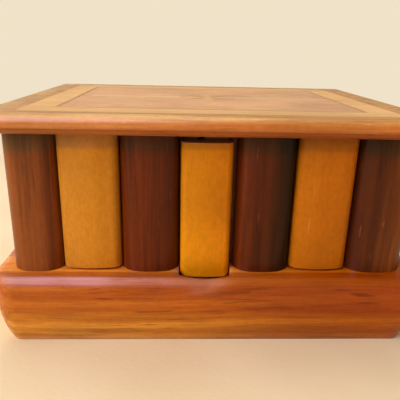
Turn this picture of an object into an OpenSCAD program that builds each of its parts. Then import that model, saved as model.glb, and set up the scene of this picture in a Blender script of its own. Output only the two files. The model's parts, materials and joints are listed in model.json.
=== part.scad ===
// Wooden secret box whose sides look like a row of book spines. The left base moulding draws out with
// a tray that hides the key, and the middle front slat drops into the base to uncover the keyhole.
// The origin is at the middle of the underside, with the front towards -Y.

/* [Body] */
// Width across the crowns of the side slats
body_w = 120.6; // [114:0.2:126]
// Depth across the crowns of the front and back slats
body_d = 92; // [84:0.5:110]
// Thickness of the four walls
wall_t = 5; // [4.5:0.1:6]
// Height of the slats between the base and the lid
slat_h = 42; // [40:0.2:56]
// Thickness of the bottom board
bottom_t = 3; // [2.5:0.1:4]
// Thickness of the board that the box's contents lie on
floor_t = 2.8; // [2:0.1:4]

/* [Slats] */
// Width of a front slat
slat_w = 17.5; // [16.5:0.1:18.2]
// Width of the opening that the sliding slat stands in
gate_w = 16.8; // [16.4:0.1:18]
// Width of the sliding slat
centre_w = 15.2; // [14:0.1:15.8]
// How far the middle of the front row stands to the right of the box's middle
row_shift = -1.4; // [-2:0.1:0]
// How far the dark slats stand out
dark_out = 6.8; // [6.2:0.1:7.2]
// How far the light slats stand out
light_out = 6.2; // [5.4:0.1:6.8]
// Thickness of the sliding slat
centre_out = 5.6; // [5:0.1:6]
// Crown radius of the dark slats
dark_crown_r = 24; // [18:1:36]
// Edge radius of the dark slats
dark_edge_r = 5.5; // [4:0.1:6]
// Crown radius of the light slats
light_crown_r = 30; // [20:1:44]
// Edge radius of the light slats
light_edge_r = 3; // [2:0.1:4]
// Crown radius of the sliding slat
centre_crown_r = 40; // [24:1:60]
// Edge radius of the sliding slat
centre_edge_r = 2.2; // [1.4:0.1:3]
// Radius of the sliding slat's two lower corners
centre_corner_r = 1.8; // [1:0.1:2.4]
// Seam between neighbouring slats
seam = 0.2; // [0.1:0.05:0.4]
// Shadow gap under the light slats
light_lift = 0.8; // [0.5:0.1:0.9]
// How far the sliding slat hangs below its closed place
slat_drop = 2.2; // [1:0.1:4]

/* [Base moulding] */
// Height of the moulding
base_h = 22.9; // [22:0.1:26]
// How far the moulding stands out past the slats
base_over = 5.2; // [4.6:0.1:6.4]
// Radius of the long curve down to the foot
foot_r = 30; // [24:0.5:38]
// Height of the moulding's widest line
foot_z = 14; // [12:0.2:15]
// Radius of the shoulder under the slats
shoulder_r = 1.2; // [0.6:0.1:4]
// Radius of the moulding's corners, seen from above
base_corner_r = 7; // [6:0.5:9]
// How far the front and back mouldings reach round the corners, behind the walls' faces
return_l = 4; // [2:0.5:8]
// Wood left under the pocket that the sliding slat drops into
pocket_floor = 5.6; // [5:0.1:6.5]
// Extra room in front of the sliding slat inside its pocket
pocket_gap = 1; // [0.5:0.1:1.2]
// Radius of the nail notch's front rim
notch_r = 14; // [12:0.5:18]
// Depth of the nail notch below the moulding's top
notch_h = 3.6; // [2.8:0.1:3.9]
// Wood left in front of the nail notch
notch_lip = 1; // [0.8:0.1:2]

/* [Key drawer] */
// Length of the tray from the back of its moulding
tray_l = 72.5; // [66:0.5:84]
// Width of the tray
tray_w = 34.6; // [30:0.2:44]
// Height of the tray
tray_h = 12.5; // [11.5:0.1:13.5]
// Wall and floor thickness of the tray
tray_t = 2; // [1.6:0.1:2.6]
// Inside length of the compartment for the key
key_room = 52; // [51:0.5:56]
// Width of the strips that the tray runs between
runner_w = 4; // [3:0.5:8]
// Headroom between the tray and the board above it
tray_headroom = 1.5; // [1:0.1:2]

/* [Key] */
// Whole length of the key
key_l = 40; // [36:0.5:41]
// Middle radius of the ring at the key's end
bow_r = 5.2; // [4.4:0.1:6]
// Radius of the ring's wire
bow_wire_r = 1.5; // [1.2:0.1:1.7]
// Radius of the stem
stem_r = 1.5; // [1.4:0.05:1.7]
// Radius of the collar on the stem
collar_r = 1.9; // [1.8:0.05:2.1]
// Radius that the bit sweeps
bit_reach = 6.4; // [5.6:0.1:6.5]
// Length of the bit along the stem
bit_l = 5; // [4:0.1:6]
// Thickness of the bit
bit_t = 1.4; // [1.1:0.05:1.6]
// Radius of the bore in the stem's end
pipe_r = 0.75; // [0.7:0.01:0.85]

/* [Lock] */
// How far the keyhole stands to the right of the middle of the front row
key_side = -2.2; // [-3:0.1:-1.8]
// Keyhole centre's distance below the top of the walls
key_drop = 8.1; // [8:0.1:9]
// Width of the lock's case
lock_w = 23; // [22:0.5:26]
// Height of the lock's case
lock_h = 19; // [17.5:0.5:21]
// Depth of the lock's case
lock_d = 6; // [6:0.1:7]
// Thickness of the lock's sheet metal
lock_t = 1; // [0.8:0.1:1]
// Width of the bolt
bolt_w = 7.8; // [7:0.1:8.4]
// Thickness of the bolt
bolt_t = 3.4; // [3:0.1:3.4]
// Height of the bolt
bolt_h = 14.5; // [13:0.1:15]
// How far the bolt rises into the lid
bolt_throw = 3.5; // [3:0.1:3.6]
// Width of the keyhole plate
plate_w = 13; // [12:0.5:15]
// Height of the keyhole plate
plate_h = 17.4; // [16.5:0.1:18.5]
// Thickness of the keyhole plate
plate_t = 0.8; // [0.5:0.1:1.2]

/* [Lid] */
// How far the lid stands out past the slats
lid_over = 5.6; // [5:0.1:7]
// Thickness of the lid
lid_t = 5.4; // [5.4:0.1:7]
// Thickness of the inlaid woods
inlay_t = 0.8; // [0.6:0.1:0.9]
// Plain rim outside the inlay at the lid's two ends
rim_side_w = 7.2; // [6:0.1:10]
// Plain rim outside the inlay along the lid's front and back
rim_front_w = 4.8; // [4:0.1:8]
// Width of the dark outer line
outer_line_w = 3.4; // [2:0.1:5]
// Width of the light band
band_w = 8.6; // [6:0.1:11]
// Width of the thin dark line
inner_line_w = 1.2; // [0.8:0.1:2]
// Width of the light line through the middle
centre_line_w = 4.5; // [3:0.1:6]
// Field left between the end of the middle line and the thin dark line
centre_line_end = 3.5; // [2:0.5:8]
// Radius to the points of the star
star_r = 12; // [9:0.5:15]
// Radius to the notches between the points
star_notch_r = 5.2; // [4:0.1:6.5]

/* [Hinges] */
// Length of a hinge
hinge_l = 15; // [12:0.5:16]
// Radius of the hinge barrel
barrel_r = 1.9; // [1.7:0.1:2]
// Radius of the hinge pin
pin_r = 0.8; // [0.7:0.05:0.9]
// Thickness of a hinge leaf
leaf_t = 0.9; // [0.7:0.1:1]
// Reach of a leaf from the pin into the box
leaf_reach = 12; // [11.6:0.1:12.2]
// Distance of the pin behind the back slats' crowns
pin_out = 0.65; // [0.6:0.05:0.8]
// Radius of a screw
screw_r = 0.8; // [0.6:0.05:0.9]
// Radius of a screw's head
screw_head_r = 1.6; // [1.4:0.1:1.7]
// Length of a screw below its head
screw_l = 3.1; // [2.6:0.1:3.1]

/* [Clearances] */
// Running clearance of the wooden sliding parts
slide_play = 0.3; // [0.2:0.05:0.4]
// Running clearance of the hinge pin in the turning knuckle
pin_play = 0.05; // [0.03:0.01:0.08]
// Clearance of screws and pins in the holes that hold them
hold_play = 0.02; // [0.01:0.01:0.04]
// Gap between turning or sliding metal parts
metal_gap = 0.3; // [0.2:0.05:0.3]
// Gap between the walls and the closed lid
lid_gap = 0.1; // [0.05:0.05:0.2]
// Gap between the slats and the closed lid
slat_lid_gap = 0.4; // [0.3:0.05:0.6]
// Gap behind and at the ends of the drawer's moulding
drawer_gap = 0.15; // [0.1:0.05:0.3]

/* [Hidden] */
dark = "#4a1f12";
light = "#c98232";
red_wood = "#b4602a";
lid_wood = "#c98a52";
pale = "#deb98c";
burl = "#cf9c74";
line_wood = "#a98256";
inside_wood = "#b98d5c";
brass = "#b8923f";
steel = "#8d9094";

// Circles that are cut exactly, large and small
round_fn = 96;
small_fn = 32;

// How far a cut runs past the faces that it opens
past = 1;

// Levels and half sizes of the carcass
slat_top = base_h + slat_h;
lid_z = slat_top + slat_lid_gap;
wall_top = lid_z - lid_gap;
lid_top = lid_z + lid_t;
half_x = body_w / 2 - dark_out;
half_y = body_d / 2 - dark_out;
inner_x = half_x - wall_t;
inner_y = half_y - wall_t;
moulding_out = base_over + dark_out;
lid_x = body_w / 2 + lid_over;
lid_y = body_d / 2 + lid_over;

// Where each slat of the front and back rows starts and ends, from the row's middle outwards
gate = gate_w / 2;
step_1 = gate + slat_w + seam;
step_2 = step_1 + slat_w + seam;
row_from = [-body_w / 2, seam - step_2, seam - step_1, seam - gate, gate, step_1, step_2];
row_to = [-step_2, -step_1, -gate, gate - seam, step_1 - seam, step_2 - seam, body_w / 2];
row_last = len(row_from) - 1;
side_slats = 5;
side_w = (2 * half_y - (side_slats + 1) * seam) / side_slats;
centre_bottom = base_h - slat_drop;
pocket_w = centre_w + 2 * slide_play;
slat_x = row_shift - gate + slide_play + centre_w / 2;

// The sliding slat's guide, a T-shaped runner in a slot of the front wall
neck_w = 4;
head_w = 8;
neck_d = 1.7;
head_d = 1.2;
runner_up = 1;
runner_h = 10;
runner_z = base_h + runner_up;

// Key drawer and key
tray_x = -half_x - drawer_gap;
tray_z = bottom_t + slide_play;
runner_y = tray_w / 2 + slide_play;
floor_z = tray_z + tray_h + tray_headroom;
key_end_gap = 1;
key_y = -5;
key_lie_z = tray_z + tray_t + slide_play + collar_r;
key_start = tray_x + tray_t + key_end_gap;
key_tip = key_start + key_l;
bow_x = key_start + bow_r + bow_wire_r;
pipe_l = 9;
collar_in = 1;
collar_l = 1.6;
bit_in = 1;
ward_w = 1.1;
ward_d = 2;

// Keyhole, lock, bolt and strike
key_x = row_shift + key_side;
key_z = wall_top - key_drop;
stem_play = 0.4;
bit_play = 0.25;
bit_end_play = 0.3;
keyhole_r = stem_r + stem_play;
keyhole_slot_w = bit_t + 2 * bit_play;
keyhole_top = key_z + bit_reach + bit_end_play;
lock_side = 0.5;
lock_x = row_shift + lock_side;
lock_below_wall = 0.2;
lock_top = wall_top - lock_below_wall;
lock_bottom = lock_top - lock_h;
lock_y = -inner_y + lock_d / 2;
ear_w = 4;
ear_screw_in = 3;
bolt_from_key = 7.3;
bolt_x = key_x + bolt_from_key;
bolt_below_lock = 0.2;
bolt_top = lock_top - bolt_below_lock;
talon_w = 3.2;
talon_h = 5.2;
post_play = 0.12;
post_r = pipe_r - post_play;
plate_from_key = 1.4;
plate_x = key_x + plate_from_key;
plate_below_wall = 0.5;
plate_top = wall_top - plate_below_wall;
plate_corner_r = 1.5;
plate_pin_r = 0.6;
plate_pin_l = 3;
plate_pin_in = 1.6;

// Strike plate in the lid, with a roomier mortise behind it
strike_room = 0.6;
strike_t = 1;
strike_end = 6.4;
strike_side = 3.1;
strike_screw_in = 1.9;
strike_screw = bolt_w / 2 + strike_room + strike_end - strike_screw_in;
mortise_end_room = 3.2;
mortise_side_room = 2.8;
mortise_over = 0.4;
mortise_top = lid_z + bolt_throw + mortise_over;

// Hinges
pin_y = body_d / 2 + pin_out;
pin_z = lid_z - lid_gap / 2;
hinge_x = step_1 + slat_w / 2;
barrel_room = barrel_r + metal_gap;
knuckle_l = (hinge_l - 2 * metal_gap) / 3;
leaf_screw_x = hinge_l / 4;
leaf_screw_y = half_y - wall_t / 2;
screw_tip_r = 0.2;
screw_tip_l = 1;

// Inlay margins, measured in from the inside of the plain rim
band_in = outer_line_w;
inner_line_in = band_in + band_w;
field_in = inner_line_in + inner_line_w;
hub_r = 1.5;
star_point_in = 2;
star_points = 8;
star_step = 360 / star_points;

// Pieces are made for the back, facing +Y, and turned to the other sides
module at_front() { rotate([0, 0, 180]) children(); }
module at_left() { rotate([0, 0, 90]) children(); }
module at_right() { rotate([0, 0, -90]) children(); }

// Box between two opposite corners
module block(low, high) {
    translate(low) cube(high - low);
}

// Rectangle with rounded corners around the origin
module rounded_square(w, h, r) {
    square([w, h - 2 * r], center = true);
    square([w - 2 * r, h], center = true);
    for (x = [-1, 1], y = [-1, 1]) {
        translate([x * (w / 2 - r), y * (h / 2 - r)]) circle(r = r, $fn = small_fn);
    }
}

// Outline of a slat: a crown arc that runs into rounded edges
module crowned_outline(w, out, crown_r, edge_r) {
    cx = w / 2 - edge_r;
    reach = crown_r - edge_r;
    rise = sqrt(reach * reach - cx * cx);
    cy = out - crown_r + rise;
    tip_x = cx + cx / reach * 2 * edge_r;
    tip_y = cy + rise / reach * 2 * edge_r;
    translate([-w / 2, 0]) square([w, cy]);
    for (side = [-1, 1]) {
        translate([side * cx, cy]) intersection() {
            circle(r = edge_r, $fn = round_fn);
            translate([-edge_r, 0]) square([2 * edge_r, edge_r]);
        }
    }
    intersection() {
        translate([0, out - crown_r]) circle(r = crown_r, $fn = round_fn);
        polygon([[-cx, cy], [cx, cy], [tip_x, tip_y], [-tip_x, tip_y]]);
    }
}

module dark_slat(x, w, wall_at, lift = 0) {
    color(dark) translate([x, wall_at, base_h + lift])
        linear_extrude(slat_h - lift) crowned_outline(w, dark_out, dark_crown_r, dark_edge_r);
}

module light_slat(x, w, wall_at) {
    color(light) translate([x, wall_at, base_h + light_lift])
        linear_extrude(slat_h - light_lift) crowned_outline(w, light_out, light_crown_r, light_edge_r);
}

// One slat of the front or back row, dark at the corners; the corners stay where they are in a shifted row
module row_slat(i, shift = 0) {
    from = i == 0 ? row_from[i] : row_from[i] + shift;
    to = i == row_last ? row_to[i] : row_to[i] + shift;
    if (i % 2 == 0) {
        dark_slat((from + to) / 2, to - from, half_y);
    } else {
        light_slat((from + to) / 2, to - from, half_y);
    }
}

// Slats of the front row are counted from the left
module front_slat(i) {
    at_front() row_slat(row_last + 1 - i, -row_shift);
}

// One slat of a side row, light next to the dark corners
module side_slat(i, lift = 0) {
    x = -half_y + seam + side_w / 2 + i * (side_w + seam);
    if (i % 2 == 0) {
        light_slat(x, side_w, half_x);
    } else {
        dark_slat(x, side_w, half_x, lift);
    }
}

// Recess as wide as a hinge leaf, between two places in depth and two heights
module leaf_recess(side, y_from, y_to, low, high) {
    block([side * hinge_x - hinge_l / 2, y_from, low], [side * hinge_x + hinge_l / 2, y_to, high]);
}

// A back slat under a hinge is cut for the leaf and the barrel
module hinged_back_slat(i, side) {
    difference() {
        row_slat(i);
        color(light) leaf_recess(side, half_y - past, pin_y, wall_top - leaf_t, lid_z);
        color(light) barrel_cut(side);
    }
}

// Base moulding in section: foot curve, widest line, shoulder and a flat top
module moulding_section() {
    shoulder_x = moulding_out - shoulder_r;
    shoulder_z = base_h - shoulder_r;
    intersection() {
        translate([moulding_out - foot_r, foot_z]) circle(r = foot_r, $fn = 2 * round_fn);
        square([moulding_out, foot_z]);
    }
    translate([0, foot_z]) square([moulding_out, shoulder_z - foot_z]);
    translate([0, shoulder_z]) square([shoulder_x, shoulder_r]);
    intersection() {
        translate([shoulder_x, shoulder_z]) circle(r = shoulder_r, $fn = round_fn);
        translate([shoulder_x, shoulder_z]) square(shoulder_r);
    }
}

// Quarter turn of the moulding's outer part, for the box's rounded corners
module moulding_turn() {
    intersection() {
        rotate_extrude($fn = round_fn) intersection() {
            translate([base_corner_r - moulding_out, 0]) moulding_section();
            square([base_corner_r, base_h]);
        }
        cube([moulding_out, moulding_out, base_h]);
    }
}

// Moulding of the front or back: a bar along the wall that turns round both corners of the box
module long_moulding() {
    turn_at = moulding_out - base_corner_r;
    straight_l = half_x + turn_at;
    color(red_wood) {
        translate([-straight_l, half_y, 0]) rotate([90, 0, 90])
            linear_extrude(2 * straight_l) moulding_section();
        for (side = [0, 1]) {
            mirror([side, 0, 0]) {
                translate([straight_l, half_y + turn_at, 0]) moulding_turn();
                translate([half_x, half_y + turn_at, 0]) rotate([90, 0, 0])
                    linear_extrude(turn_at + return_l) moulding_section();
            }
        }
    }
}

// Moulding of the left or right side, between the other two, with a gap behind it and at its ends
module side_moulding(gap = 0) {
    l = 2 * (half_y - return_l - gap);
    color(red_wood) translate([-l / 2, half_x, 0]) rotate([90, 0, 90]) linear_extrude(l) intersection() {
        moulding_section();
        translate([gap, 0]) square([moulding_out, base_h]);
    }
}

// Room that the sliding slat drops into
module slat_pocket() {
    pocket_out = centre_out + slide_play + pocket_gap;
    intersection() {
        translate([0, pocket_out - centre_crown_r, 0])
            cylinder(r = centre_crown_r, h = base_h, $fn = round_fn);
        block([-pocket_w / 2, -past, 0], [pocket_w / 2, pocket_out + past, base_h]);
    }
}

// Notch for a finger nail in front of the sliding slat's foot, as wide as its pocket
module nail_notch() {
    intersection() {
        translate([0, moulding_out - notch_lip - notch_r, 0])
            cylinder(r = notch_r, h = notch_h + past, $fn = round_fn);
        block([-pocket_w / 2, 0, 0], [pocket_w / 2, moulding_out, notch_h + past]);
    }
}

// The front moulding has the pocket and the nail notch
module front_moulding() {
    color(red_wood) at_front() difference() {
        long_moulding();
        translate([-slat_x, half_y, pocket_floor]) slat_pocket();
        translate([-slat_x, half_y, base_h - notch_h]) nail_notch();
    }
}

module bottom_board() {
    color(inside_wood) block([-half_x, -half_y, 0], [half_x, half_y, bottom_t]);
}

module floor_board() {
    color(inside_wood) block([-inner_x, -inner_y, floor_z], [inner_x, inner_y, floor_z + floor_t]);
}

// Two strips that the tray slides between and the inner floor rests on
module drawer_runners() {
    color(inside_wood) for (side = [-1, 1]) {
        translate([-inner_x, side * (runner_y + runner_w / 2) - runner_w / 2, bottom_t])
            cube([2 * inner_x, runner_w, floor_z - bottom_t]);
    }
}

// Section of the T-shaped runner, or of its slot when grown by room; y = 0 is the wall's face
module tee_section(out, room) {
    lip = -neck_d - slide_play + room;
    head_back = lip - head_d - 2 * room;
    polygon([[-neck_w / 2 - room, out], [neck_w / 2 + room, out], [neck_w / 2 + room, lip],
             [head_w / 2 + room, lip], [head_w / 2 + room, head_back], [-head_w / 2 - room, head_back],
             [-head_w / 2 - room, lip], [-neck_w / 2 - room, lip]]);
}

// Round hole for the stem with a slot above it for the bit
module keyhole(y_from, y_to) {
    translate([key_x, y_from, key_z]) rotate([-90, 0, 0])
        cylinder(r = keyhole_r, h = y_to - y_from, $fn = small_fn);
    block([key_x - keyhole_slot_w / 2, y_from, key_z], [key_x + keyhole_slot_w / 2, y_to, keyhole_top]);
}

module front_wall() {
    color(inside_wood) difference() {
        block([-half_x, -half_y, bottom_t], [half_x, -inner_y, wall_top]);
        at_front() translate([-slat_x, half_y, bottom_t - past])
            linear_extrude(runner_z + runner_h + slat_drop + slide_play - bottom_t + past)
            tee_section(past, slide_play);
        translate([0, -half_y - past, 0]) plate_body(plate_t + past);
        keyhole(-half_y - past, -inner_y + past);
        plate_pin_pair(hold_play);
        lock_screw_set(hold_play);
    }
}

module back_wall() {
    color(inside_wood) difference() {
        block([-half_x, inner_y, bottom_t], [half_x, half_y, wall_top]);
        for (side = [-1, 1]) {
            leaf_recess(side, pin_y - leaf_reach, half_y + past, wall_top - leaf_t, lid_z);
        }
        leaf_screw_set(hold_play);
    }
}

module side_wall() {
    color(inside_wood) block([inner_x, -inner_y, bottom_t], [half_x, inner_y, wall_top]);
}

// The left wall is open at its foot for the tray
module left_wall() {
    color(inside_wood) difference() {
        mirror([1, 0, 0]) side_wall();
        block([-half_x - past, -runner_y, bottom_t - past],
              [-inner_x + past, runner_y, tray_z + tray_h + slide_play]);
    }
}

// Screw that points down, with the top of its countersunk head at the origin
module screw(head_t, play = 0) {
    translate([0, 0, -head_t])
        cylinder(r1 = screw_r + play, r2 = screw_head_r + play, h = head_t, $fn = small_fn);
    translate([0, 0, -head_t - screw_l + screw_tip_l])
        cylinder(r = screw_r + play, h = screw_l - screw_tip_l, $fn = small_fn);
    translate([0, 0, -head_t - screw_l - play])
        cylinder(r1 = screw_tip_r, r2 = screw_r + play, h = screw_tip_l + play, $fn = small_fn);
}

module leaf_screw_set(play = 0) {
    for (side = [-1, 1], end = [-1, 1]) {
        translate([side * hinge_x + end * leaf_screw_x, leaf_screw_y, wall_top]) screw(leaf_t, play);
    }
}

module strike_screw_set(play = 0) {
    for (end = [-1, 1]) {
        translate([bolt_x + end * strike_screw, lock_y, lid_z]) rotate([180, 0, 0]) screw(strike_t, play);
    }
}

module lid_screw_set(play = 0) {
    for (side = [-1, 1], end = [-1, 1]) {
        translate([side * hinge_x + end * leaf_screw_x, leaf_screw_y, lid_z]) rotate([180, 0, 0])
            screw(leaf_t, play);
    }
    strike_screw_set(play);
}

// Screws through the lock's ears into the front wall
module lock_screw_set(play = 0) {
    for (side = [-1, 1], z = [lock_bottom + ear_screw_in, lock_top - ear_screw_in]) {
        translate([lock_x + side * (lock_w + ear_w) / 2, -inner_y + lock_t, z]) rotate([-90, 0, 0])
            screw(lock_t, play);
    }
}

// Barrel of one hinge with the room it turns in
module barrel_cut(side) {
    translate([side * hinge_x - hinge_l / 2 - metal_gap, pin_y, pin_z]) rotate([0, 90, 0])
        cylinder(r = barrel_room, h = hinge_l + 2 * metal_gap, $fn = small_fn);
}

// Lower leaf of a hinge, its knuckles starting at the given places along the pin
module hinge_leaf(knuckles, bore_r) {
    leaf_top = -lid_gap / 2;
    leaf_under = leaf_top - leaf_t;
    color(brass) difference() {
        union() {
            block([-hinge_l / 2, -leaf_reach, leaf_under], [hinge_l / 2, -barrel_room, leaf_top]);
            for (from = knuckles) {
                block([from, -barrel_room, leaf_under], [from + knuckle_l, 0, leaf_top]);
                translate([from, 0, 0]) rotate([0, 90, 0])
                    cylinder(r = barrel_r, h = knuckle_l, $fn = small_fn);
            }
        }
        translate([-hinge_l, 0, 0]) rotate([0, 90, 0])
            cylinder(r = bore_r, h = 2 * hinge_l, $fn = small_fn);
        for (end = [-1, 1]) {
            translate([end * leaf_screw_x, leaf_screw_y - pin_y, leaf_top]) screw(leaf_t, hold_play);
        }
    }
}

module case_leaf(side) {
    translate([side * hinge_x, pin_y, pin_z])
        hinge_leaf([-hinge_l / 2, hinge_l / 2 - knuckle_l], pin_r + hold_play);
}

module lid_leaf(side) {
    translate([side * hinge_x, pin_y, pin_z]) mirror([0, 0, 1])
        hinge_leaf([-knuckle_l / 2], pin_r + pin_play);
}

// Pins as long as the barrels that they run through
module hinge_pins() {
    color(steel) for (side = [-1, 1]) {
        translate([side * hinge_x - hinge_l / 2, pin_y, pin_z]) rotate([0, 90, 0])
            cylinder(r = pin_r, h = hinge_l, $fn = small_fn);
    }
}

// Block between two heights with the bolt's section, grown on each side by the given room
module bolt_block(room_x, room_y, low, high) {
    block([bolt_x - bolt_w / 2 - room_x, lock_y - bolt_t / 2 - room_y, low],
          [bolt_x + bolt_w / 2 + room_x, lock_y + bolt_t / 2 + room_y, high]);
}

// Block as tall as the lock, half_w to each side and depth out from the wall
module lock_block(half_w, depth) {
    block([lock_x - half_w, -inner_y, lock_bottom], [lock_x + half_w, -inner_y + depth, lock_top]);
}

// Sheet metal lock with two ears, open at the top for the bolt
module lock_shell() {
    half_w = lock_w / 2;
    difference() {
        union() {
            lock_block(half_w, lock_d);
            lock_block(half_w + ear_w, lock_t);
        }
        block([lock_x - half_w + lock_t, -inner_y + lock_t, lock_bottom + lock_t],
              [lock_x + half_w - lock_t, -inner_y + lock_d - lock_t, lock_top - lock_t]);
        bolt_block(metal_gap, metal_gap, lock_top - 2 * lock_t, lock_top + past);
        keyhole(-inner_y - past, -inner_y + 1.5 * lock_t);
        lock_screw_set(hold_play);
    }
}

// The shell with the post that the key's bore turns on
module lock_case() {
    color(steel) {
        lock_shell();
        translate([key_x, -inner_y + lock_t, key_z]) rotate([-90, 0, 0])
            cylinder(r = post_r, h = lock_d - 1.5 * lock_t, $fn = small_fn);
    }
}

// The talon is the notch in which the key's bit lifts the bolt
module lock_bolt() {
    talon_x = bolt_x - bolt_w / 2 + talon_w;
    color(brass) difference() {
        bolt_block(0, 0, bolt_top - bolt_h, bolt_top);
        block([talon_x - talon_w - past, lock_y - bolt_t, key_z - talon_h / 2],
              [talon_x, lock_y + bolt_t, key_z + talon_h / 2]);
    }
}

// Round-cornered plate standing in the XZ plane, its back at y = depth
module plate_body(depth) {
    translate([plate_x, depth, plate_top - plate_h / 2]) rotate([90, 0, 0]) linear_extrude(depth)
        rounded_square(plate_w, plate_h, plate_corner_r);
}

module plate_pin_pair(play = 0) {
    for (side = [-1, 1]) {
        translate([plate_x + side * (plate_w / 2 - plate_pin_in), -half_y, key_z]) rotate([-90, 0, 0])
            cylinder(r = plate_pin_r + play, h = plate_pin_l + play, $fn = small_fn);
    }
}

module keyhole_plate() {
    color(brass) difference() {
        translate([0, -half_y, 0]) plate_body(plate_t);
        keyhole(-half_y - past, -half_y + plate_t + past);
        plate_pin_pair(hold_play);
    }
}

// Outline of the strike plate, from a height up to its upper face
module strike_blank(low) {
    bolt_block(strike_room + strike_end, strike_room + strike_side, low, lid_z + strike_t);
}

module strike_plate() {
    color(brass) difference() {
        strike_blank(lid_z);
        bolt_block(strike_room, strike_room, lid_z - past, lid_z + strike_t + past);
        strike_screw_set(hold_play);
    }
}

// The sliding slat, with its lower corners rounded
module centre_slat() {
    shape_h = slat_h + 2 * centre_corner_r;
    color(light) at_front() translate([-slat_x, half_y + slide_play, centre_bottom]) intersection() {
        linear_extrude(slat_h) crowned_outline(centre_w, centre_out, centre_crown_r, centre_edge_r);
        translate([0, centre_out + past, shape_h / 2]) rotate([90, 0, 0])
            linear_extrude(centre_out + 2 * past) rounded_square(centre_w, shape_h, centre_corner_r);
    }
}

module slat_runner() {
    color(inside_wood) at_front() translate([-slat_x, half_y, runner_z])
        linear_extrude(runner_h) tee_section(slide_play, 0);
}

module key_tray() {
    room_end = tray_x + tray_t + key_room;
    color(inside_wood) difference() {
        block([tray_x, -tray_w / 2, tray_z], [tray_x + tray_l, tray_w / 2, tray_z + tray_h]);
        block([tray_x + tray_t, -tray_w / 2 + tray_t, tray_z + tray_t],
              [room_end, tray_w / 2 - tray_t, tray_z + tray_h + past]);
        block([room_end + tray_t, -tray_w / 2 + tray_t, tray_z + tray_t],
              [tray_x + tray_l - tray_t, tray_w / 2 - tray_t, tray_z + tray_h + past]);
    }
}

// Pipe key lying on its side: ring, stem with a collar, and a bit with one ward cut
module key() {
    stem_x = bow_x + bow_r;
    bit_x = key_tip - bit_l - bit_in;
    color(brass) translate([0, key_y, key_lie_z]) {
        translate([bow_x, 0, 0]) rotate_extrude($fn = round_fn)
            translate([bow_r, 0]) circle(r = bow_wire_r, $fn = small_fn);
        difference() {
            union() {
                translate([stem_x, 0, 0]) rotate([0, 90, 0])
                    cylinder(r = stem_r, h = key_tip - stem_x, $fn = small_fn);
                translate([stem_x + bow_wire_r + collar_in, 0, 0]) rotate([0, 90, 0])
                    cylinder(r = collar_r, h = collar_l, $fn = small_fn);
                block([bit_x, 0, -bit_t / 2], [bit_x + bit_l, bit_reach, bit_t / 2]);
            }
            block([bit_x + bit_l / 2 - ward_w / 2, bit_reach - ward_d, -bit_t],
                  [bit_x + bit_l / 2 + ward_w / 2, bit_reach + past, bit_t]);
            translate([key_tip - pipe_l, 0, 0]) rotate([0, 90, 0])
                cylinder(r = pipe_r, h = pipe_l + past, $fn = small_fn);
        }
    }
}

// The inlay's whole outline, or a smaller one inside it by a margin
module inlay_outline(margin = 0) {
    square([2 * (lid_x - rim_side_w - margin), 2 * (lid_y - rim_front_w - margin)], center = true);
}

// Edge section of the lid: a flat board with half-round edges
module lid_section(half) {
    r = lid_t / 2;
    translate([-half + r, 0]) square([2 * (half - r), lid_t]);
    for (side = [-1, 1]) {
        translate([side * (half - r), r]) circle(r = r, $fn = round_fn);
    }
}

module lid_board() {
    color(lid_wood) difference() {
        translate([0, 0, lid_z]) intersection() {
            rotate([90, 0, 0]) linear_extrude(2 * lid_y, center = true) lid_section(lid_x);
            rotate([90, 0, 90]) linear_extrude(2 * lid_x, center = true) lid_section(lid_y);
        }
        translate([0, 0, lid_top - inlay_t]) linear_extrude(inlay_t + past) inlay_outline();
        for (side = [-1, 1]) {
            leaf_recess(side, pin_y - leaf_reach, pin_y, lid_z - past, lid_z + leaf_t);
            barrel_cut(side);
        }
        lid_screw_set(hold_play);
        strike_blank(lid_z - past);
        bolt_block(mortise_end_room, mortise_side_room, lid_z - past, mortise_top);
    }
}

// A flat frame let into the top of the lid, from one margin to the next
module inlay_frame(margin, w) {
    translate([0, 0, lid_top - inlay_t]) linear_extrude(inlay_t) difference() {
        inlay_outline(margin);
        inlay_outline(margin + w);
    }
}

// Corners of the star's outline, which are its points and notches in turn
function star_corner_r(i) = i % 2 == 0 ? star_r : star_notch_r;
function star_corner(i) = star_corner_r(i) * [cos(i * star_step / 2), sin(i * star_step / 2)];

// One kite-shaped point of the star, from the middle out
module star_kite(i) {
    polygon([[0, 0], star_corner(2 * i - 1), star_corner(2 * i), star_corner(2 * i + 1)]);
}

module star_outline() {
    polygon([for (i = [0:2 * star_points - 1]) star_corner(i)]);
}

// The two halves of the light line through the middle of the field, each split by a point of the star
module centre_line_pair() {
    line_end = lid_x - rim_side_w - field_in - centre_line_end;
    line_start = star_r - star_point_in;
    for (side = [-1, 1]) {
        translate([side * (line_end + line_start) / 2, 0])
            square([line_end - line_start, centre_line_w], center = true);
    }
}

module lid_field() {
    color(burl) translate([0, 0, lid_top - inlay_t]) linear_extrude(inlay_t) difference() {
        inlay_outline(field_in);
        centre_line_pair();
        star_outline();
    }
}

module centre_line() {
    color(pale) translate([0, 0, lid_top - inlay_t]) linear_extrude(inlay_t) difference() {
        centre_line_pair();
        star_outline();
    }
}

module star_light() {
    color(pale) translate([0, 0, lid_top - inlay_t]) linear_extrude(inlay_t) {
        circle(r = hub_r, $fn = small_fn);
        for (i = [0:2:star_points - 1]) {
            star_kite(i);
        }
    }
}

module star_dark() {
    color(line_wood) translate([0, 0, lid_top - inlay_t]) linear_extrude(inlay_t) difference() {
        for (i = [1:2:star_points - 1]) {
            star_kite(i);
        }
        circle(r = hub_r, $fn = small_fn);
    }
}

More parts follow.
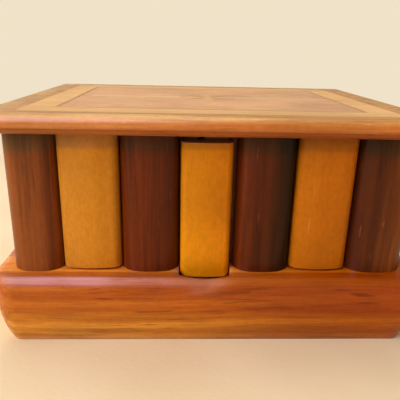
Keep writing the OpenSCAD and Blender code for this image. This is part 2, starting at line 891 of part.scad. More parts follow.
bottom_board();
floor_board();
drawer_runners();
front_wall();
back_wall();
left_wall();
side_wall();  // right_wall
front_moulding();
long_moulding();  // back_moulding
at_right() side_moulding();  // right_moulding
front_slat(1);  // front_slat_1
front_slat(2);  // front_slat_2
front_slat(3);  // front_slat_3
front_slat(5);  // front_slat_5
front_slat(6);  // front_slat_6
front_slat(7);  // front_slat_7
row_slat(0);  // back_slat_1
hinged_back_slat(1, -1);  // back_slat_2
row_slat(2);  // back_slat_3
row_slat(3);  // back_slat_4
row_slat(4);  // back_slat_5
hinged_back_slat(5, 1);  // back_slat_6
row_slat(6);  // back_slat_7
at_left() side_slat(0);  // left_slat_1
at_left() side_slat(1, slide_play);  // left_slat_2
at_left() side_slat(2);  // left_slat_3
at_left() side_slat(3, slide_play);  // left_slat_4
at_left() side_slat(4);  // left_slat_5
at_right() side_slat(4);  // right_slat_1
at_right() side_slat(3);  // right_slat_2
at_right() side_slat(2);  // right_slat_3
at_right() side_slat(1);  // right_slat_4
at_right() side_slat(0);  // right_slat_5
lock_case();
color(steel) lock_screw_set();  // lock_screws
keyhole_plate();
color(brass) plate_pin_pair();  // plate_pins
case_leaf(-1);  // case_leaf_left
case_leaf(1);  // case_leaf_right
color(brass) leaf_screw_set();  // case_leaf_screws
hinge_pins();
centre_slat();
slat_runner();
at_left() side_moulding(drawer_gap);  // left_moulding
key_tray();
key();
lock_bolt();
lid_board();
color(line_wood) inlay_frame(0, outer_line_w);  // outer_line
color(pale) inlay_frame(band_in, band_w);  // light_band
color(line_wood) inlay_frame(inner_line_in, inner_line_w);  // inner_line
lid_field();
centre_line();
star_light();
star_dark();
lid_leaf(-1);  // lid_leaf_left
lid_leaf(1);  // lid_leaf_right
color(brass) lid_screw_set();  // lid_screws
strike_plate();
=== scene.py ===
# Looks of a wooden secret box with book-spine slats, an inlaid lid and brass fittings.
# Lengths are in metres. Grain, pores, flecks, wear and painted light and shade are all made by shader
# nodes.
import json
import math

import bpy
from mathutils import Matrix, Vector

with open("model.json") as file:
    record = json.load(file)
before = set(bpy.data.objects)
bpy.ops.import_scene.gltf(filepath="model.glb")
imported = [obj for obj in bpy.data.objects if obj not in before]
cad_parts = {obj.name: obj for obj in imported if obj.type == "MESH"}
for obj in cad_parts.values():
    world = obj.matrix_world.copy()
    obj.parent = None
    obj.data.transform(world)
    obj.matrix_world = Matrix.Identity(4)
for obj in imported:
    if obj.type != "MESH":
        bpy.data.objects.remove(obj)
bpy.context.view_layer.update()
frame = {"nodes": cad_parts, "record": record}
nodes = frame["nodes"]

# Camera, measured in the photograph's frame
IMAGE_PIXELS = 400
FOCAL_PIXELS = 454.6
SENSOR_MM = 36.0
CAMERA_PLACE = (-0.0092, -0.1709, 0.0883)
CAMERA_YAW = math.radians(2.45)
CAMERA_DOWN = math.radians(18.61)
CAMERA_ROLL = math.radians(1.37)
CAMERA_NEAR = 0.005

# Axes that a grain runs along or a fade goes along. A fade is an axis, the places on it where the fade
# starts and is full, and its tone.
X, Y, Z = 0, 1, 2


def linear(red, green, blue):
    """Linear colour of an sRGB colour that is given from 0 to 255."""
    def channel(value):
        value = value / 255
        return value / 12.92 if value <= 0.04045 else ((value + 0.055) / 1.055) ** 2.4
    return (channel(red), channel(green), channel(blue), 1.0)


def tone(red, green, blue):
    """Factors by which a colour's red, green and blue are multiplied."""
    return (red, green, blue, 1.0)


PLAIN = tone(1.0, 1.0, 1.0)

# What woods share: how far their lines wander, what share of their scale lines and fibres keep along
# the grain, how far arrises are rounded, how much varnish lies on top, and fades of the worn colour,
# which on the front moulding is a painted highlight
COMMON = {
    "wander": 0.004, "line_stretch": 0.03, "fibre_stretch": 0.025,
    "arris": 0.0005, "coat": 0.05, "rub_and_sheen_fades": (),
}

# Woods: two colours along the growth lines, colours of pores and worn edges (the front moulding's is a
# painted highlight), and how strong each is
DARK_WOOD = {
    **COMMON, "pale": linear(120, 54, 22), "deep": linear(70, 28, 11),
    "pore": linear(34, 14, 7), "rub_and_sheen": linear(150, 78, 40),
    "lines_per_m": 330, "bands_per_m": 132, "contrast": 0.6, "bands": 0.2, "veins": 0.25,
    "fibres": 0.08, "mottle": 0.05, "streaks": 0.3, "scuffs": 0.4, "roughness": 0.36,
}
LIGHT_WOOD = {
    **COMMON, "pale": linear(212, 134, 38), "deep": linear(192, 110, 22),
    "pore": linear(146, 78, 20), "rub_and_sheen": linear(240, 190, 118),
    "lines_per_m": 200, "bands_per_m": 80, "contrast": 0.2, "bands": 0.03, "veins": 0.0,
    "fibres": 0.015, "mottle": 0.07, "streaks": 0.06, "scuffs": 0.15, "roughness": 0.42,
}
RED_WOOD = {
    **COMMON, "pale": linear(206, 116, 34), "deep": linear(164, 70, 8),
    "pore": linear(110, 36, 6), "rub_and_sheen": linear(214, 150, 118),
    "lines_per_m": 260, "bands_per_m": 104, "contrast": 0.6, "bands": 0.06, "veins": 0.4,
    "fibres": 0.07, "mottle": 0.06, "streaks": 0.6, "scuffs": 0.15, "roughness": 0.28,
    "arris": 0.004, "coat": 0.15,
}
# The front moulding's shoulder carries a painted lavender highlight in its worn-edge colour, which fades
# out to its right, at its foot and at its left end
FRONT_WOOD = {
    **RED_WOOD, "rub_and_sheen": linear(234, 192, 228), "scuffs": 0.0, "coat": 0.22,
    "rub_and_sheen_fades": (
        (X, -0.022, 0.012, tone(0.9, 0.55, 0.05)),
        (Z, 0.0185, 0.016, tone(1.0, 0.8, 0.3)),
        (X, -0.06, -0.0635, tone(1.0, 0.8, 0.3)),
    ),
}
LID_WOOD = {
    **COMMON, "pale": linear(206, 138, 75), "deep": linear(180, 102, 48),
    "pore": linear(124, 46, 17), "rub_and_sheen": linear(232, 186, 132),
    "lines_per_m": 320, "bands_per_m": 128, "contrast": 0.55, "bands": 0.05, "veins": 0.35,
    "fibres": 0.06, "mottle": 0.06, "streaks": 0.45, "scuffs": 0.3, "roughness": 0.3,
    "coat": 0.12,
}
PALE_INLAY = {
    **COMMON, "pale": linear(226, 178, 118), "deep": linear(210, 156, 94),
    "pore": linear(170, 116, 66), "rub_and_sheen": linear(232, 188, 132),
    "lines_per_m": 380, "bands_per_m": 152, "contrast": 0.4, "bands": 0.03, "veins": 0.0,
    "fibres": 0.06, "mottle": 0.05, "streaks": 0.15, "scuffs": 0.0, "roughness": 0.34,
}
# A burr's grain curls, so its lines wander far and are hardly drawn out
BURR = {
    **COMMON, "pale": linear(218, 168, 120), "deep": linear(198, 142, 98),
    "pore": linear(150, 98, 60), "rub_and_sheen": linear(224, 178, 130),
    "lines_per_m": 150, "bands_per_m": 120, "contrast": 0.45, "bands": 0.03, "veins": 0.15,
    "fibres": 0.05, "mottle": 0.08, "streaks": 0.12, "scuffs": 0.0, "roughness": 0.34,
    "wander": 0.034, "line_stretch": 0.53, "fibre_stretch": 0.325,
}
BROWN_INLAY = {
    **COMMON, "pale": linear(192, 142, 90), "deep": linear(158, 110, 64),
    "pore": linear(104, 66, 36), "rub_and_sheen": linear(200, 150, 100),
    "lines_per_m": 520, "bands_per_m": 208, "contrast": 0.5, "bands": 0.05, "veins": 0.0,
    "fibres": 0.1, "mottle": 0.06, "streaks": 0.3, "scuffs": 0.0, "roughness": 0.36,
}
INSIDE_WOOD = {
    **COMMON, "pale": linear(204, 158, 104), "deep": linear(172, 120, 70),
    "pore": linear(122, 80, 44), "rub_and_sheen": linear(214, 172, 122),
    "lines_per_m": 240, "bands_per_m": 96, "contrast": 0.7, "bands": 0.05, "veins": 0.1,
    "fibres": 0.08, "mottle": 0.06, "streaks": 0.3, "scuffs": 0.0, "roughness": 0.55,
}


# Shader nodes
# A Mix node's colour sockets have the names of its number sockets, so they are found by their places
MIX_FIRST, MIX_SECOND, MIX_RESULT = 6, 7, 2
# Pieces with neighbouring seeds are this far apart in the noise
SEED_SHIFT = Vector((0.37, 0.59, 0.83))
# The middle range that most of a noise's values lie in
NOISE_LOW, NOISE_HIGH = 0.3, 0.7
# Cosines between a face and its rounded normal, on the flat and where an arris is fully worn
FLAT_COSINE, WORN_COSINE = 0.995, 0.86
BEVEL_SAMPLES = 4


def plug(tree, socket, value):
    """Links a socket, or sets the socket's own value if value isn't another node's output."""
    if isinstance(value, bpy.types.NodeSocket):
        tree.links.new(value, socket)
    else:
        socket.default_value = value


def new_material(name):
    """An empty material with a Principled shader, and its node tree."""
    material = bpy.data.materials.new(name)
    material.use_nodes = True
    tree = material.node_tree
    tree.nodes.clear()
    output = tree.nodes.new("ShaderNodeOutputMaterial")
    shader = tree.nodes.new("ShaderNodeBsdfPrincipled")
    tree.links.new(shader.outputs["BSDF"], output.inputs["Surface"])
    return material, tree, shader


def calc(tree, operation, first, second=0.0):
    node = tree.nodes.new("ShaderNodeMath")
    node.operation = operation
    plug(tree, node.inputs[0], first)
    plug(tree, node.inputs[1], second)
    return node.outputs[0]


def vector_calc(tree, operation, first, second):
    node = tree.nodes.new("ShaderNodeVectorMath")
    node.operation = operation
    plug(tree, node.inputs[0], first)
    plug(tree, node.inputs[1], second)
    return node.outputs["Value"] if operation == "DOT_PRODUCT" else node.outputs["Vector"]


def between(tree, value, low, high, to_low=0.0, to_high=1.0):
    """Value carried from low and high to to_low and to_high, and kept within them."""
    node = tree.nodes.new("ShaderNodeMapRange")
    node.interpolation_type = "SMOOTHSTEP"
    plug(tree, node.inputs["Value"], value)
    plug(tree, node.inputs["From Min"], low)
    plug(tree, node.inputs["From Max"], high)
    plug(tree, node.inputs["To Min"], to_low)
    plug(tree, node.inputs["To Max"], to_high)
    return node.outputs["Result"]


def swing(tree, value, reach):
    """A factor that goes as far below 1 as above it while a noise runs through its middle range."""
    return between(tree, value, NOISE_LOW, NOISE_HIGH, 1 - reach, 1 + reach)


def blend_colour(tree, amount, first, second, kind="MIX"):
    node = tree.nodes.new("ShaderNodeMix")
    node.data_type = "RGBA"
    node.blend_type = kind
    plug(tree, node.inputs["Factor"], amount)
    plug(tree, node.inputs[MIX_FIRST], first)
    plug(tree, node.inputs[MIX_SECOND], second)
    return node.outputs[MIX_RESULT]


def noise(tree, place, scale, detail=2.0, roughness=0.5, colour=False):
    node = tree.nodes.new("ShaderNodeTexNoise")
    plug(tree, node.inputs["Vector"], place)
    node.inputs["Scale"].default_value = scale
    node.inputs["Detail"].default_value = detail
    node.inputs["Roughness"].default_value = roughness
    return node.outputs["Color" if colour else "Fac"]


def object_place(tree, seed):
    """The point on the object, moved by a seed so that no two pieces share a pattern."""
    place = tree.nodes.new("ShaderNodeTexCoord").outputs["Object"]
    return vector_calc(tree, "ADD", place, SEED_SHIFT * (1 + seed))


def wandering(tree, place, scale, reach):
    """The same point pushed about by a slow noise, so that straight lines wander."""
    push = vector_calc(tree, "SUBTRACT", noise(tree, place, scale, colour=True), (0.5, 0.5, 0.5))
    return vector_calc(tree, "ADD", place, vector_calc(tree, "MULTIPLY", push, (reach, reach, reach)))


def stretched(tree, place, grain, stretch):
    """The point with its distance along the grain shortened, so that patterns grow along it."""
    factors = [1.0, 1.0, 1.0]
    factors[grain] = stretch
    return vector_calc(tree, "MULTIPLY", place, factors)


def rounded_normal(tree, radius):
    node = tree.nodes.new("ShaderNodeBevel")
    node.samples = BEVEL_SAMPLES
    node.inputs["Radius"].default_value = radius
    return node.outputs["Normal"]


def arris_mask(tree, normal):
    """From 0 on faces to 1 on arrises, where the rounded normal leaves the face's own."""
    face = tree.nodes.new("ShaderNodeNewGeometry").outputs["Normal"]
    return between(tree, vector_calc(tree, "DOT_PRODUCT", normal, face), FLAT_COSINE, WORN_COSINE)


def bump(tree, height, normal, depth):
    node = tree.nodes.new("ShaderNodeBump")
    node.inputs["Strength"].default_value = 1.0
    node.inputs["Distance"].default_value = depth
    plug(tree, node.inputs["Height"], height)
    plug(tree, node.inputs["Normal"], normal)
    return node.outputs["Normal"]


def faded(tree, colour, fades):
    """The colour, tinted more and more from one place to another along an axis of the object."""
    place = tree.nodes.new("ShaderNodeTexCoord").outputs["Object"]
    split = tree.nodes.new("ShaderNodeSeparateXYZ")
    plug(tree, split.inputs[0], place)
    for axis, start, end, tint in fades:
        amount = between(tree, split.outputs[axis], start, end)
        colour = blend_colour(tree, amount, colour, tint, "MULTIPLY")
    return colour


# Wood
# Sparse patterns: noise scale, share of it kept along the grain, and the values between which they grow
PATCHES = (120, 0.4, 0.42, 0.62)
STREAKS = (1300, 0.07, 0.6, 0.72)
SCUFFS = (1100, 0.09, 0.72, 0.78)
# Scales of the other noises
WANDER_SCALE = 16
CLOUD_SCALE = 34
WAVE_SCALE = 130
MOTTLE_SCALE = 900
FIBRE_SCALE = 2600
MOTTLE_STRETCH = 0.6
# How rough the finer noises are, from 0 to 1
LINE_NOISE_ROUGHNESS = 0.55
MOTTLE_NOISE_ROUGHNESS = 0.7
# Growth lines run from pale to deep within this range of their noise
LINE_RANGE = (0.34, 0.66)
# Veins lie where the bands' noise is this near to its middle
VEIN_REACH = 0.035
# How much clouds lighten and darken the wood
CLOUD_SHADE = 0.1
# Rubbing and, on the front moulding, the painted highlight are uneven: the clouds' values between which
# they grow, and their least and greatest share
UNEVEN_RUB_AND_SHEEN = (0.35, 0.65, 0.25, 0.85)
# How much fibres and streaks change the roughness
FIBRE_DULLING = 0.15
STREAK_DULLING = 0.15
# Depths of the hand-rubbed waves and of the pores, and how high fibres stand against a pore's depth
WAVE_DEPTH = 0.0002
PORE_DEPTH = 0.00003
FIBRE_HEIGHT = 0.5
# How strongly the bare wood mirrors, and how rough the varnish on it is
WOOD_SPECULAR = 0.1
COAT_ROUGHNESS = 0.15


def flecks(tree, place, grain, pattern):
    """A sparse pattern drawn out along the grain, from 0 beside its flecks to 1 in them."""
    scale, stretch, low, high = pattern
    return between(tree, noise(tree, stretched(tree, place, grain, stretch), scale, detail=1.0), low, high)


def grain_patterns(tree, place, grain, look):
    """The patterns that make a wood, by name, each running from 0 to 1."""
    drifting = wandering(tree, place, WANDER_SCALE, look["wander"])
    along = stretched(tree, drifting, grain, look["line_stretch"])
    growth = noise(tree, along, look["lines_per_m"], detail=3.0, roughness=LINE_NOISE_ROUGHNESS)
    bands = noise(tree, along, look["bands_per_m"], detail=1.0)
    off_middle = calc(tree, "ABSOLUTE", calc(tree, "SUBTRACT", bands, 0.5))
    veins = between(tree, off_middle, 0.0, VEIN_REACH, 1.0, 0.0)
    fibre_place = stretched(tree, drifting, grain, look["fibre_stretch"])
    mottle_place = stretched(tree, place, grain, MOTTLE_STRETCH)
    patches = flecks(tree, place, grain, PATCHES)
    return {
        "lines": between(tree, growth, *LINE_RANGE),
        "bands": bands,
        "fibres": noise(tree, fibre_place, FIBRE_SCALE),
        "mottle": noise(tree, mottle_place, MOTTLE_SCALE, roughness=MOTTLE_NOISE_ROUGHNESS),
        "clouds": noise(tree, place, CLOUD_SCALE),
        "veins": calc(tree, "MULTIPLY", veins, patches),
        "streaks": calc(tree, "MULTIPLY", flecks(tree, drifting, grain, STREAKS), patches),
    }


def grain_colour(tree, patterns, look):
    """The wood's own colour, with growth lines, shades and pores."""
    amount = calc(tree, "MULTIPLY", calc(tree, "SUBTRACT", patterns["lines"], 0.5), look["contrast"])
    colour = blend_colour(tree, calc(tree, "ADD", amount, 0.5), look["pale"], look["deep"])
    shade = swing(tree, patterns["clouds"], CLOUD_SHADE)
    for kind in ("fibres", "mottle", "bands"):
        shade = calc(tree, "MULTIPLY", shade, swing(tree, patterns[kind], look[kind]))
    colour = blend_colour(tree, 1.0, colour, shade, "MULTIPLY")
    for kind in ("veins", "streaks"):
        amount = calc(tree, "MULTIPLY", patterns[kind], look[kind])
        colour = blend_colour(tree, amount, colour, look["pore"])
    return colour


def add_varnish(tree, shader, place, patterns, rounded, look):
    """Gloss that fibres and pores break up, on a hand-rubbed surface with slow waves."""
    dulled = calc(tree, "MULTIPLY", look["roughness"], swing(tree, patterns["fibres"], FIBRE_DULLING))
    pores = calc(tree, "MULTIPLY", patterns["streaks"], STREAK_DULLING)
    plug(tree, shader.inputs["Roughness"], calc(tree, "ADD", dulled, pores))
    waves = bump(tree, noise(tree, place, WAVE_SCALE), rounded, WAVE_DEPTH)
    ridges = calc(tree, "MULTIPLY", patterns["fibres"], FIBRE_HEIGHT)
    relief = calc(tree, "SUBTRACT", ridges, patterns["streaks"])
    plug(tree, shader.inputs["Normal"], bump(tree, relief, waves, PORE_DEPTH))
    plug(tree, shader.inputs["Coat Normal"], waves)
    shader.inputs["Specular IOR Level"].default_value = WOOD_SPECULAR
    shader.inputs["Coat Weight"].default_value = look["coat"]
    shader.inputs["Coat Roughness"].default_value = COAT_ROUGHNESS


def wood(name, look, grain, seed, tint=PLAIN, base_fades=(), fades=()):
    """Varnished wood whose grain runs along one axis of the object.

    Base fades are fades that rubbed arrises have lost, and the other fades lie over both; both carry
    painted light and shade in places."""
    material, tree, shader = new_material(name + "_wood")
    place = object_place(tree, seed)
    patterns = grain_patterns(tree, place, grain, look)
    colour = blend_colour(tree, 1.0, grain_colour(tree, patterns, look), tint, "MULTIPLY")
    scuffs = calc(tree, "MULTIPLY", flecks(tree, place, grain, SCUFFS), look["scuffs"])
    colour = faded(tree, blend_colour(tree, scuffs, colour, look["rub_and_sheen"]), base_fades)

    rounded = rounded_normal(tree, look["arris"])
    uneven = between(tree, patterns["clouds"], *UNEVEN_RUB_AND_SHEEN)
    rub_and_sheen_mask = calc(tree, "MULTIPLY", arris_mask(tree, rounded), uneven)
    colour = blend_colour(tree, rub_and_sheen_mask, colour, faded(tree, look["rub_and_sheen"], look["rub_and_sheen_fades"]))
    plug(tree, shader.inputs["Base Color"], faded(tree, colour, fades))
    add_varnish(tree, shader, place, patterns, rounded, look)
    return material


# Metal
# Clouds of tarnish: noise scale, the values between which they grow, and how much rougher they are
TARNISH_SCALE = 90
TARNISH_RANGE = (0.35, 0.7)
TARNISH_DULLING = 0.14
# Scratches run along X and wander a little; the last pair of numbers is what they add to the roughness
SCRATCH_SCALE = 5200
SCRATCH_STRETCH = 0.02
SCRATCH_WANDER_SCALE, SCRATCH_WANDER = 60, 0.002
SCRATCH_DULLING = (NOISE_LOW, NOISE_HIGH, -0.05, 0.08)
SCRATCH_DEPTH = 0.00002
# How far arrises are rounded, and how bright they are polished
METAL_ARRIS = 0.00025
BRIGHT_ARRIS = 0.6


def metal(name, bright, dull, roughness, seed):
    """Satin metal with fine scratches, duller in its tarnished clouds and bright on its edges."""
    material, tree, shader = new_material(name)
    place = object_place(tree, seed)
    tarnish = between(tree, noise(tree, place, TARNISH_SCALE, detail=3.0), *TARNISH_RANGE)
    drifting = wandering(tree, place, SCRATCH_WANDER_SCALE, SCRATCH_WANDER)
    scratches = noise(tree, stretched(tree, drifting, X, SCRATCH_STRETCH), SCRATCH_SCALE)
    rounded = rounded_normal(tree, METAL_ARRIS)
    polish = calc(tree, "MULTIPLY", arris_mask(tree, rounded), BRIGHT_ARRIS)
    colour = blend_colour(tree, tarnish, bright, dull)
    plug(tree, shader.inputs["Base Color"], blend_colour(tree, polish, colour, bright))
    shader.inputs["Metallic"].default_value = 1.0
    rough = calc(tree, "ADD", roughness, calc(tree, "MULTIPLY", tarnish, TARNISH_DULLING))
    rough = calc(tree, "ADD", rough, between(tree, scratches, *SCRATCH_DULLING))
    plug(tree, shader.inputs["Roughness"], rough)
    plug(tree, shader.inputs["Normal"], bump(tree, scratches, rounded, SCRATCH_DEPTH))
    return material


def dress(name, material):
    """Gives a CAD node its material."""
    for slot in nodes[name].material_slots:
        slot.material = material


# Slats
# Tones of the front slats from left to right, each at its left and its right edge: partly the slats' own
# tones and partly painted light and shade
SLAT_TONES_AND_SHADES = {
    "front_slat_1": (tone(1.95, 2.65, 1.95), tone(1.45, 1.75, 1.45)),
    "front_slat_2": (tone(0.86, 0.96, 1.1), tone(0.88, 0.92, 0.7)),
    "front_slat_3": (tone(0.86, 0.66, 0.27), tone(0.5, 0.45, 0.33)),
    "centre_slat": (tone(0.84, 0.86, 0.15), tone(0.92, 0.79, 0.02)),
    "front_slat_5": (tone(0.92, 0.74, 0.35), tone(0.06, 0.18, 0.18)),
    "front_slat_6": (tone(0.71, 0.59, 0.1), tone(0.73, 0.56, 0.02)),
    "front_slat_7": (tone(0.46, 0.43, 0.38), tone(1.45, 1.8, 1.05)),
}
# Where the front slats begin and end along X
FRONT_SLAT_EDGES = (-0.0603, -0.0453, -0.0275, -0.0098, 0.007, 0.0247, 0.0424, 0.0603)
# Painted shade on the slats' tops where the lid shades them
LID_SHADE_TONES = {
    "dark_wood": (Z, 0.0583, 0.0615, tone(0.64, 1.05, 1.6)),
    "light_wood": (Z, 0.0602, 0.0614, tone(0.75, 0.82, 2.2)),
}
# Painted light that brightens the feet of two slats: its tones, and the heights where it starts and is
# full
LIT_FEET = {"centre_slat": tone(1.35, 1.4, 1.5), "front_slat_3": tone(1.3, 1.25, 1.0)}
LIT_FOOT_TOP, LIT_FOOT_FULL = 0.046, 0.028
# The other slats are up to this much lighter or darker, by a sine that turns this far for each slat,
# and green changes a little less
SLAT_CHANGE = 0.08
SLAT_TURN = 2.4
GREEN_SHARE = 0.8
# All slats, in the order of their seeds
SLATS = [f"front_slat_{i}" for i in (1, 2, 3, 5, 6, 7)] + ["centre_slat"]
SLATS += [f"back_slat_{i}" for i in range(1, 8)]
SLATS += [f"{side}_slat_{i}" for side in ("left", "right") for i in range(1, 6)]


def front_slat_wood(name, slot, look, seed):
    """A front slat's tone drifts across it, partly as painted light and shade, with painted shade at its
    top and painted light at some feet.
    """
    i = list(SLAT_TONES_AND_SHADES).index(name)
    left, right = SLAT_TONES_AND_SHADES[name]
    # The drift across the slat is partly painted light and shade
    ratio = tone(*(after / before for before, after in zip(left[:3], right[:3])))
    tone_and_shade_drift = (X, FRONT_SLAT_EDGES[i], FRONT_SLAT_EDGES[i + 1], ratio)
    foot = (Z, LIT_FOOT_TOP, LIT_FOOT_FULL, LIT_FEET.get(name, PLAIN))
    return wood(name, look, Z, seed, left, base_fades=(tone_and_shade_drift,), fades=(LID_SHADE_TONES[slot], foot))


def dress_slats():
    """Each slat is cut from its own stick, so each gets its own tone; the front slats' tones also hold
    painted light and shade.
    """
    slots = {part["node"]: part["material_slot"] for part in frame["record"]["subparts"]}
    for seed, name in enumerate(SLATS):
        look = DARK_WOOD if slots[name] == "dark_wood" else LIGHT_WOOD
        if name in SLAT_TONES_AND_SHADES:
            dress(name, front_slat_wood(name, slots[name], look, seed))
        else:
            change = SLAT_CHANGE * math.sin(SLAT_TURN * seed)
            tint = tone(1 + change, 1 + GREEN_SHARE * change, 1 + change)
            dress(name, wood(name, look, Z, seed, tint))


# Mouldings and the case's boards, with their grain
MOULDINGS = (("front", X), ("back", X), ("left", Y), ("right", Y))
MOULDING_SEED = 40
INSIDE_PIECES = (
    ("bottom_board", X), ("floor_board", X), ("drawer_runners", X), ("front_wall", X), ("back_wall", X),
    ("left_wall", Y), ("right_wall", Y), ("slat_runner", Z), ("key_tray", X),
)
INSIDE_SEED = 50
# Painted light: the mouldings grow paler towards the foot, where it turns down away from the lamps
FOOT_FADES = (
    (Z, 0.013, 0.01, tone(1.3, 1.9, 2.2)),
    (Z, 0.0095, 0.0045, tone(0.89, 0.98, 1.15)),
)
# The front moulding is also paler in a strip just behind the slats, and painted shade makes it darker and
# redder to the right, away from the light on the left
FRONT_FADES = (
    (Y, -0.0468, -0.0454, tone(1.6, 2.1, 3.2)),
    (X, -0.05, 0.055, tone(0.59, 0.35, 0.0)),
)
# The front wall is darker where it shows round the sliding slat
WALL_FACE_FADES = ((Y, -0.037, -0.0388, tone(0.3, 0.16, 0.12)),)


def dress_case():
    for seed, (side, grain) in enumerate(MOULDINGS, MOULDING_SEED):
        name = side + "_moulding"
        if side == "front":
            dress(name, wood(name, FRONT_WOOD, grain, seed, fades=FOOT_FADES + FRONT_FADES))
        else:
            dress(name, wood(name, RED_WOOD, grain, seed, fades=FOOT_FADES))
    for seed, (name, grain) in enumerate(INSIDE_PIECES, INSIDE_SEED):
        fades = WALL_FACE_FADES if name == "front_wall" else ()
        dress(name, wood(name, INSIDE_WOOD, grain, seed, fades=fades))


# Lid
# The rim's tones are painted light and shade: a painted sheen pales its top, painted shade darkens it
# red-brown under its widest line, painted reflections darken a line near its bottom and pale its lowest
# band, and painted shade dims it towards the right
LID_RIM_LIGHT_AND_SHADE = (
    (Z, 0.069, 0.0704, tone(1.08, 1.66, 2.3)),
    (Z, 0.0684, 0.0664, tone(0.65, 0.55, 0.5)),
    (Z, 0.0674, 0.067, tone(0.78, 0.62, 0.5)),
    (Z, 0.0669, 0.0665, tone(1.28, 1.61, 2.0)),
    (X, -0.03, 0.03, tone(0.96, 0.84, 0.65)),
)
LID_PIECES = (
    ("lid_board", LID_WOOD, PLAIN, LID_RIM_LIGHT_AND_SHADE),
    ("lid_field", BURR, PLAIN, ()),
    ("light_band", PALE_INLAY, PLAIN, ()),
    ("centre_line", PALE_INLAY, tone(0.98, 1.12, 1.4), ()),
    ("star_light", PALE_INLAY, tone(0.9, 0.88, 0.92), ()),
    ("outer_line", BROWN_INLAY, tone(1.12, 1.12, 1.12), ()),
    ("inner_line", BROWN_INLAY, tone(1.1, 1.1, 1.1), ()),
    ("star_dark", BROWN_INLAY, tone(1.08, 1.1, 1.15), ()),
)
LID_SEED = 70


def dress_lid():
    for seed, (name, look, tint, fades) in enumerate(LID_PIECES, LID_SEED):
        dress(name, wood(name, look, X, seed, tint, fades=fades))


# Metals: bright and dull colour, roughness, and the pieces made of it
METALS = {
    "satin_brass": (linear(214, 172, 96), linear(160, 118, 60), 0.34, (
        "case_leaf_left", "case_leaf_right", "case_leaf_screws",
        "lid_leaf_left", "lid_leaf_right", "lid_screws", "strike_plate", "key", "lock_bolt")),
    "sheet_steel": (linear(176, 178, 180), linear(120, 120, 122), 0.38, (
        "lock_case", "lock_screws", "hinge_pins")),
    "tarnished_brass": (linear(150, 122, 78), linear(70, 60, 48), 0.42, (
        "keyhole_plate", "plate_pins")),
}
METAL_SEED = 80


def dress_metal():
    for seed, (kind, (bright, dull, roughness, pieces)) in enumerate(METALS.items(), METAL_SEED):
        material = metal(kind, bright, dull, roughness, seed)
        for name in pieces:
            dress(name, material)


# Floor and background
PALE_WALL = linear(240, 226, 200)
CLOTH_SHADED = linear(220, 194, 154)
CLOTH_LIT = linear(229, 205, 167)
CLOTH_ROUGHNESS = 0.9
CLOTH_CLOUD_SCALE = 16
WEAVE_SCALE = 700
WEAVE_DEPTH = 0.00006
FLOOR_HALF = 3.0
FLOOR_STEPS = 24
# Distances from the middle of the box at which the floor starts and ends to fade into the background
FLOOR_FADE = (0.1, 0.62)


def floor_material():
    """A pale cloth; the camera sees it fade to the pale background away from the box."""
    material, tree, shader = new_material("floor_cloth")
    place = tree.nodes.new("ShaderNodeTexCoord").outputs["Object"]
    clouds = between(tree, noise(tree, place, CLOTH_CLOUD_SCALE, detail=3.0), NOISE_LOW, NOISE_HIGH)
    plug(tree, shader.inputs["Base Color"], blend_colour(tree, clouds, CLOTH_SHADED, CLOTH_LIT))
    shader.inputs["Roughness"].default_value = CLOTH_ROUGHNESS
    weave = noise(tree, place, WEAVE_SCALE, detail=3.0)
    flat = tree.nodes.new("ShaderNodeNewGeometry").outputs["Normal"]
    plug(tree, shader.inputs["Normal"], bump(tree, weave, flat, WEAVE_DEPTH))

    far = tree.nodes.new("ShaderNodeEmission")
    far.inputs["Color"].default_value = PALE_WALL
    length = tree.nodes.new("ShaderNodeVectorMath")
    length.operation = "LENGTH"
    plug(tree, length.inputs[0], place)
    away = between(tree, length.outputs["Value"], *FLOOR_FADE)
    path = tree.nodes.new("ShaderNodeLightPath")
    mixed = tree.nodes.new("ShaderNodeMixShader")
    plug(tree, mixed.inputs[0], calc(tree, "MULTIPLY", away, path.outputs["Is Camera Ray"]))
    plug(tree, mixed.inputs[1], shader.outputs["BSDF"])
    plug(tree, mixed.inputs[2], far.outputs["Emission"])
    plug(tree, tree.nodes["Material Output"].inputs["Surface"], mixed.outputs["Shader"])
    return material


def add_floor():
    """The cloth-covered table, a flat grid of squares."""
    row = FLOOR_STEPS + 1
    step = 2 * FLOOR_HALF / FLOOR_STEPS
    verts = [(-FLOOR_HALF + step * i, -FLOOR_HALF + step * j, 0.0) for j in range(row) for i in range(row)]
    faces = [(j * row + i, j * row + i + 1, (j + 1) * row + i + 1, (j + 1) * row + i)
             for j in range(FLOOR_STEPS) for i in range(FLOOR_STEPS)]
    mesh = bpy.data.meshes.new("floor")
    mesh.from_pydata(verts, [], faces)
    floor = bpy.data.objects.new("floor", mesh)
    bpy.context.scene.collection.objects.link(floor)
    mesh.materials.append(floor_material())


# Light from all round: its colour, the direction in which it is strongest, the cosines to that direction
# between which it grows, and its least and greatest strength
ROOM_COLOUR = linear(255, 250, 242)
ROOM_TOWARDS = (-0.45, -0.1, 0.88)
ROOM_STRENGTHS = (-0.1, 0.9, 0.18, 0.55)
# A cool window that only gloss shows, given in the same way
WINDOW_COLOUR = linear(190, 208, 255)
WINDOW_TOWARDS = (-0.5, -0.45, 0.74)
WINDOW_STRENGTHS = (0.82, 0.9, 0.0, 20.0)


def background(tree, colour):
    node = tree.nodes.new("ShaderNodeBackground")
    node.inputs["Color"].default_value = colour
    return node


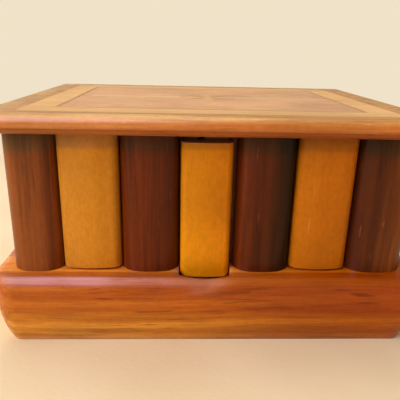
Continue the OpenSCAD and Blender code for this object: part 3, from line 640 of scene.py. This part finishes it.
def add_world():
    """Light from all round and from the window; the camera sees the pale background instead."""
    world = bpy.data.worlds.new("room")
    bpy.context.scene.world = world
    world.use_nodes = True
    tree = world.node_tree
    tree.nodes.clear()
    output = tree.nodes.new("ShaderNodeOutputWorld")
    direction = tree.nodes.new("ShaderNodeTexCoord").outputs["Generated"]
    path = tree.nodes.new("ShaderNodeLightPath")
    room = background(tree, ROOM_COLOUR)
    towards = vector_calc(tree, "DOT_PRODUCT", direction, ROOM_TOWARDS)
    plug(tree, room.inputs["Strength"], between(tree, towards, *ROOM_STRENGTHS))
    window = background(tree, WINDOW_COLOUR)
    facing = vector_calc(tree, "DOT_PRODUCT", direction, WINDOW_TOWARDS)
    shining = between(tree, facing, *WINDOW_STRENGTHS)
    plug(tree, window.inputs["Strength"], calc(tree, "MULTIPLY", shining, path.outputs["Is Glossy Ray"]))
    around = tree.nodes.new("ShaderNodeAddShader")
    plug(tree, around.inputs[0], room.outputs["Background"])
    plug(tree, around.inputs[1], window.outputs["Background"])
    mixed = tree.nodes.new("ShaderNodeMixShader")
    plug(tree, mixed.inputs[0], path.outputs["Is Camera Ray"])
    plug(tree, mixed.inputs[1], around.outputs["Shader"])
    plug(tree, mixed.inputs[2], background(tree, PALE_WALL).outputs["Background"])
    plug(tree, output.inputs["Surface"], mixed.outputs["Shader"])


# Lamps: place, width and height, watts, and colour; all shine on a point inside the box
LAMPS = {
    "window": ((-0.5, -0.45, 0.45), (0.5, 0.4), 4.35, (1.0, 0.98, 0.95)),
    "ceiling": ((-0.1, 0.3, 1.3), (0.9, 0.6), 8.3, (1.0, 0.97, 0.92)),
    "skylight": ((-0.3, -0.46, 0.84), (0.42, 0.2), 0.8, (0.8, 0.88, 1.0)),
}
LAMP_TARGET = (0.0, 0.0, 0.04)


def add_lamps():
    for name, (place, size, watts, colour) in LAMPS.items():
        lamp = bpy.data.lights.new(name, "AREA")
        lamp.shape = "RECTANGLE"
        lamp.size, lamp.size_y = size
        lamp.energy = watts
        lamp.color = colour
        holder = bpy.data.objects.new(name, lamp)
        holder.location = place
        shining = Vector(LAMP_TARGET) - Vector(place)
        holder.rotation_euler = shining.to_track_quat("-Z", "Y").to_euler()
        bpy.context.scene.collection.objects.link(holder)


def add_camera():
    """A pin-hole camera turned by yaw, then down, then rolled."""
    sin, cos = math.sin, math.cos
    level_forward = Vector((sin(CAMERA_YAW), cos(CAMERA_YAW), 0))
    level_right = Vector((cos(CAMERA_YAW), -sin(CAMERA_YAW), 0))
    upright = Vector((0, 0, 1))
    forward = level_forward * cos(CAMERA_DOWN) - upright * sin(CAMERA_DOWN)
    up = upright * cos(CAMERA_DOWN) + level_forward * sin(CAMERA_DOWN)
    rolled_right = level_right * cos(CAMERA_ROLL) + up * sin(CAMERA_ROLL)
    rolled_up = up * cos(CAMERA_ROLL) - level_right * sin(CAMERA_ROLL)
    camera = bpy.data.cameras.new("camera")
    camera.sensor_width = SENSOR_MM
    camera.lens = FOCAL_PIXELS / IMAGE_PIXELS * SENSOR_MM
    camera.clip_start = CAMERA_NEAR
    holder = bpy.data.objects.new("camera", camera)
    turn = Matrix((rolled_right, rolled_up, -forward)).transposed()
    holder.matrix_world = Matrix.Translation(CAMERA_PLACE) @ turn.to_4x4()
    bpy.context.scene.collection.objects.link(holder)
    bpy.context.scene.camera = holder


add_camera()
add_floor()
add_world()
add_lamps()
bpy.context.scene.view_settings.view_transform = "Standard"
dress_slats()
dress_case()
dress_lid()
dress_metal()
